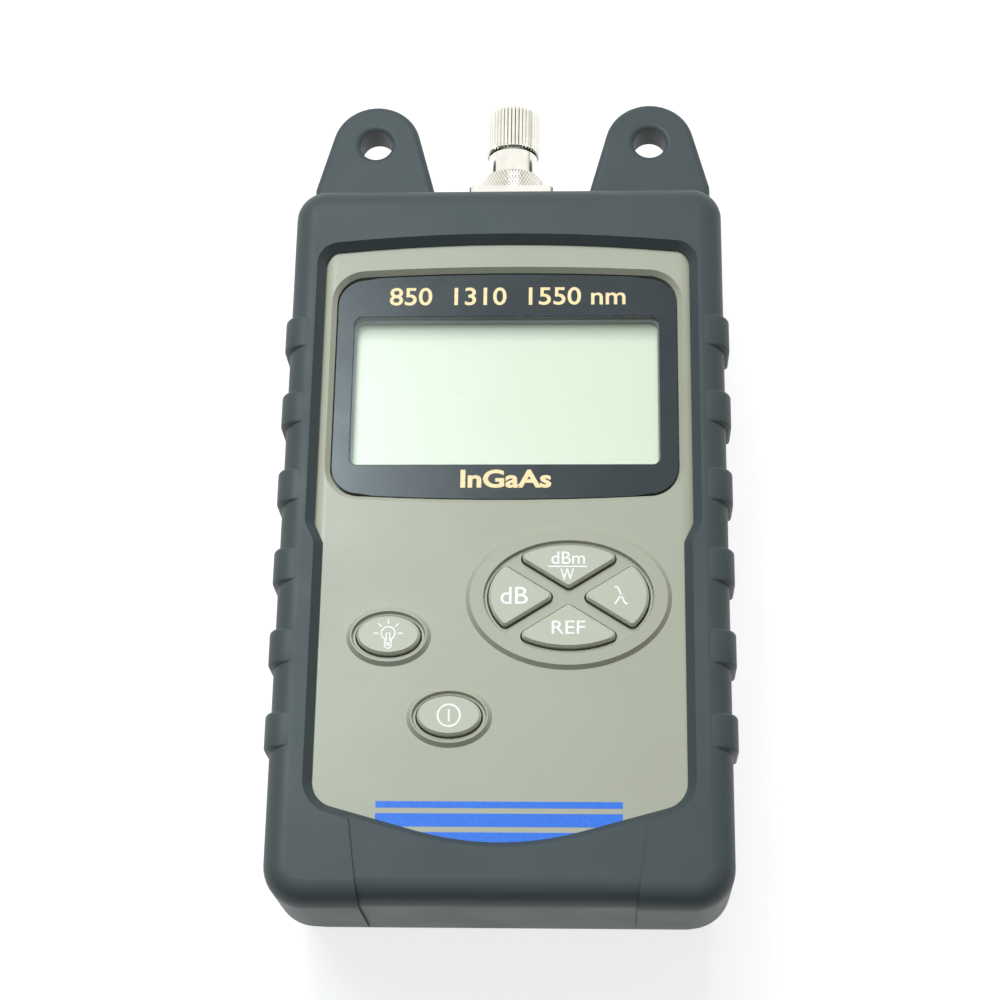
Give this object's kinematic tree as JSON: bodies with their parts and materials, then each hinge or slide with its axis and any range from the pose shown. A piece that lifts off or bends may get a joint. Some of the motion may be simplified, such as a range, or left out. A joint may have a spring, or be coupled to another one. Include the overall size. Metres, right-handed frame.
{
  "type": "optical power meter",
  "caption": "Handheld optical power meter in a dark rubber boot with strap ears, display, printed keys and a capped metal fibre port.",
  "frame": {"origin": "under the middle of the whole meter, in the plane that the boot's back rests on", "axes": "+Y towards the fibre port, +Z out of the front panel, +X to the reader's right"},
  "size_m": [0.0788, 0.1564, 0.0405],
  "materials": {
    "boot_rubber": "smooth dark blue-grey rubber with a soft sheen",
    "case_plastic": "finely textured warm grey plastic",
    "key_plastic": "finely textured warm grey plastic with printed legends",
    "lens_plastic": "clear window with a dark printed border",
    "display_glass": "pale green reflective display",
    "light_panel": "milky light guide",
    "contact_rubber": "layered contact rubber",
    "silicone": "soft silicone mat",
    "board": "green solder mask",
    "tin_plate": "tinned sheet",
    "port_metal": "bright nickel plating",
    "diode_can": "gold flashed can",
    "ceramic": "white zirconia",
    "seal_rubber": "black rubber disc",
    "screw_steel": "zinc plated steel",
    "battery_sleeve": "plain printed sleeve",
    "spring_steel": "nickel plated spring steel"
  },
  "bodies": {
    "meter": {"rubber_boot": "boot_rubber", "front_case": "case_plastic", "back_case": "case_plastic", "key_mat": "silicone", "main_board": "board", "amplifier_shield": "tin_plate", "port_flange": "port_metal", "port_nut": "port_metal", "photodiode": "diode_can", "display_lens": "lens_plastic", "display_glass": "display_glass", "light_panel": "light_panel", "contact_strip": "contact_rubber", "board_screws": "screw_steel", "case_screws": "screw_steel", "battery_1": "battery_sleeve", "battery_2": "battery_sleeve", "battery_3": "battery_sleeve", "battery_springs": "spring_steel", "contact_plates": "spring_steel"},
    "door": {"battery_door": "case_plastic"},
    "dbm_w_key": {"key_dbm_w": "key_plastic"},
    "db_key": {"key_db": "key_plastic"},
    "lambda_key": {"key_lambda": "key_plastic"},
    "ref_key": {"key_ref": "key_plastic"},
    "backlight_key": {"key_backlight": "key_plastic"},
    "power_key": {"key_power": "key_plastic"},
    "adapter": {"fibre_adapter": "port_metal", "ferrule_sleeve": "ceramic"},
    "coupling_nut": {"knurled_nut": "port_metal"},
    "seal": {"cap_seal": "seal_rubber"},
    "cap": {"dust_cap": "port_metal"}
  },
  "joints": [
    {"name": "dbm_w_press", "type": "slide", "parent": "meter", "child": "dbm_w_key", "axis": [0, 0, -1], "range_m": [0, 0.0008], "stiffness_N_per_m": 500},
    {"name": "db_press", "type": "slide", "parent": "meter", "child": "db_key", "axis": [0, 0, -1], "range_m": [0, 0.0008], "stiffness_N_per_m": 500},
    {"name": "lambda_press", "type": "slide", "parent": "meter", "child": "lambda_key", "axis": [0, 0, -1], "range_m": [0, 0.0008], "stiffness_N_per_m": 500},
    {"name": "ref_press", "type": "slide", "parent": "meter", "child": "ref_key", "axis": [0, 0, -1], "range_m": [0, 0.0008], "stiffness_N_per_m": 500},
    {"name": "backlight_press", "type": "slide", "parent": "meter", "child": "backlight_key", "axis": [0, 0, -1], "range_m": [0, 0.0008], "stiffness_N_per_m": 500},
    {"name": "power_press", "type": "slide", "parent": "meter", "child": "power_key", "axis": [0, 0, -1], "range_m": [0, 0.0008], "stiffness_N_per_m": 500},
    {"name": "door_swing", "type": "hinge", "parent": "meter", "child": "door", "pos_m": [0, -0.00905, 0.0018], "axis": [1, 0, 0], "range_deg": [0, 100]},
    {"name": "adapter_slide", "type": "slide", "parent": "meter", "child": "adapter", "axis": [0, 1, 0], "range_m": [0, 0.003]},
    {"name": "nut_turn", "type": "hinge", "parent": "adapter", "child": "coupling_nut", "pos_m": [0, 0.0612, 0.0203], "axis": [0, 1, 0], "range_deg": [0, 1441]},
    {"name": "seal_slide", "type": "slide", "parent": "adapter", "child": "seal", "axis": [0, 1, 0], "range_m": [0, 0.0075]},
    {"name": "cap_turn", "type": "hinge", "parent": "seal", "child": "cap", "pos_m": [0, 0.073, 0.0203], "axis": [0, 1, 0], "range_deg": [0, 3601]}
  ],
  "couplings": [
    {"joint": "nut_turn", "follows": "adapter_slide", "rad_per_m": 8377.6},
    {"joint": "cap_turn", "follows": "seal_slide", "rad_per_m": 8377.6}
  ]
}
